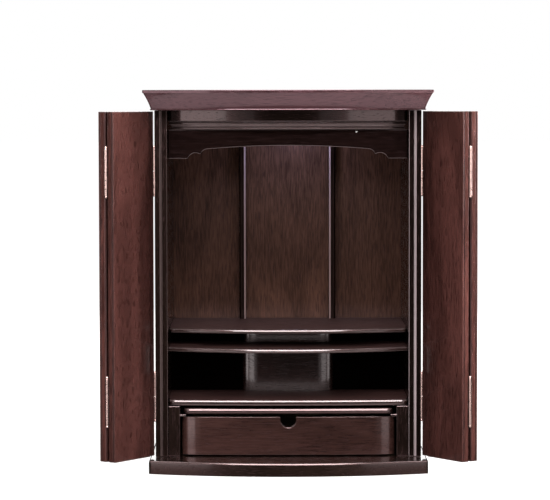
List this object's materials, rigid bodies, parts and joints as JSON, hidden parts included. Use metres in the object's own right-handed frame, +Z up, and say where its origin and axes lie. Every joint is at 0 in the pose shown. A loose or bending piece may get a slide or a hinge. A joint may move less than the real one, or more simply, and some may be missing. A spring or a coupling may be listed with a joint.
{
  "type": "household altar cabinet",
  "caption": "Tabletop wooden altar cabinet with folding doors standing open, a coved cornice, a scalloped valance, stepped shelves, a slide-out board and a drawer.",
  "frame": {"origin": "on the underside of the base, on the centre line, in the plane of the side panels' front edges", "axes": "+Z up, the front faces -Y, +X to the viewer's right"},
  "size_m": [0.5318, 0.325, 0.545],
  "materials": {
    "carcass_wood": "dark red-brown stain under gloss lacquer",
    "door_wood": "red-brown veneer with fine upright grain under gloss lacquer",
    "front_wood": "dark red-brown, grain running across, gloss lacquer",
    "back_wood": "red-brown veneer with fine upright grain, satin lacquer",
    "shadow_black": "near-black stain, satin",
    "drawer_wood": "plain pale wood, unlacquered",
    "hinge_metal": "polished",
    "button_metal": "polished"
  },
  "bodies": {
    "cabinet": {"base": "carcass_wood", "side_panel_left": "carcass_wood", "side_panel_right": "carcass_wood", "back_panel": "back_wood", "cornice": "carcass_wood", "fascia": "carcass_wood", "bead_moulding": "carcass_wood", "valance": "front_wood", "lamp_button": "button_metal", "batten_left": "back_wood", "batten_right": "back_wood", "top_shelf": "front_wood", "middle_shelf": "front_wood", "lower_shelf": "front_wood", "upper_riser": "shadow_black", "upper_pedestal": "front_wood", "lower_riser": "shadow_black", "lower_pedestal": "front_wood", "drawer_cheek_left": "carcass_wood", "drawer_cheek_right": "carcass_wood", "hinge_left_upper_frame_half": "hinge_metal", "hinge_left_lower_frame_half": "hinge_metal", "hinge_right_upper_frame_half": "hinge_metal", "hinge_right_lower_frame_half": "hinge_metal"},
    "left_inner_door": {"door_left_inner_leaf": "door_wood", "hinge_left_upper_leaf_half": "hinge_metal", "hinge_left_lower_leaf_half": "hinge_metal", "fold_hinge_left_upper_inner_half": "hinge_metal", "fold_hinge_left_lower_inner_half": "hinge_metal"},
    "left_outer_door": {"door_left_outer_leaf": "door_wood", "fold_hinge_left_upper_outer_half": "hinge_metal", "fold_hinge_left_lower_outer_half": "hinge_metal"},
    "right_inner_door": {"door_right_inner_leaf": "door_wood", "hinge_right_upper_leaf_half": "hinge_metal", "hinge_right_lower_leaf_half": "hinge_metal", "fold_hinge_right_upper_inner_half": "hinge_metal", "fold_hinge_right_lower_inner_half": "hinge_metal"},
    "right_outer_door": {"door_right_outer_leaf": "door_wood", "fold_hinge_right_upper_outer_half": "hinge_metal", "fold_hinge_right_lower_outer_half": "hinge_metal"},
    "drawer": {"drawer_front": "front_wood", "drawer_side_left": "drawer_wood", "drawer_side_right": "drawer_wood", "drawer_back": "drawer_wood", "drawer_bottom": "drawer_wood"},
    "board": {"slide_board": "front_wood"}
  },
  "joints": [
    {"name": "left_door_swing", "type": "hinge", "parent": "cabinet", "child": "left_inner_door", "pos_m": [-0.1913, -0.00255, 0], "axis": [0, 0, -1], "range_deg": [-126, 54]},
    {"name": "left_door_fold", "type": "hinge", "parent": "left_inner_door", "child": "left_outer_door", "pos_m": [-0.25526, -0.07552, 0], "axis": [0, 0, -1], "range_deg": [-180, 0]},
    {"name": "right_door_swing", "type": "hinge", "parent": "cabinet", "child": "right_inner_door", "pos_m": [0.1913, -0.00255, 0], "axis": [0, 0, 1], "range_deg": [-126, 54]},
    {"name": "right_door_fold", "type": "hinge", "parent": "right_inner_door", "child": "right_outer_door", "pos_m": [0.25526, -0.07552, 0], "axis": [0, 0, 1], "range_deg": [-180, 0]},
    {"name": "drawer_slide", "type": "slide", "parent": "cabinet", "child": "drawer", "axis": [0, -1, 0], "range_m": [0, 0.15]},
    {"name": "board_slide", "type": "slide", "parent": "cabinet", "child": "board", "axis": [0, -1, 0], "range_m": [0, 0.13]}
  ]
}
